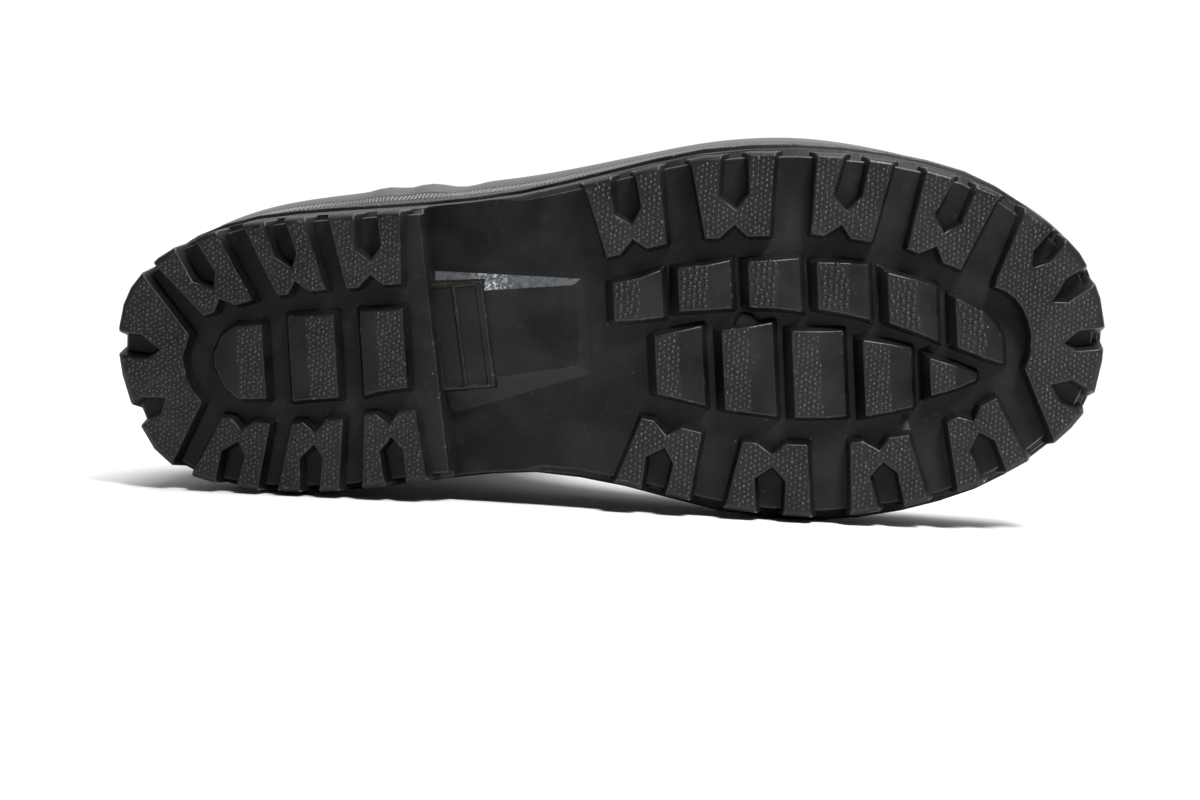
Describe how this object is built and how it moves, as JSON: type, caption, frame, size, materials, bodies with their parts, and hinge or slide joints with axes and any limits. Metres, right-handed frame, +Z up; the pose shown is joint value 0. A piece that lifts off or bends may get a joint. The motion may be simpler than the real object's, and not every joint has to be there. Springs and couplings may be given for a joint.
{
  "type": "rubber boot",
  "caption": "Knee-high moulded rubber work boot for the right foot, lying on its inner side, with a deep lugged outsole, raised shank cover, foxing strip and plain shaft.",
  "frame": {"origin": "middle of the boot's bounding box, on the floor that it lies on", "axes": "X from heel to toe, Y from the tread to the collar, Z up through the outer side of the foot"},
  "size_m": [0.309, 0.3876, 0.117],
  "materials": {
    "outsole": "black rubber, semi-matte, pebbled lug tops",
    "rand": "black rubber, satin",
    "upper": "black rubber, semi-gloss",
    "insole": "grey felt-faced foam"
  },
  "bodies": {
    "root": {"outsole": "outsole", "rand": "rand", "upper": "upper", "insole": "insole"}
  },
  "joints": []
}
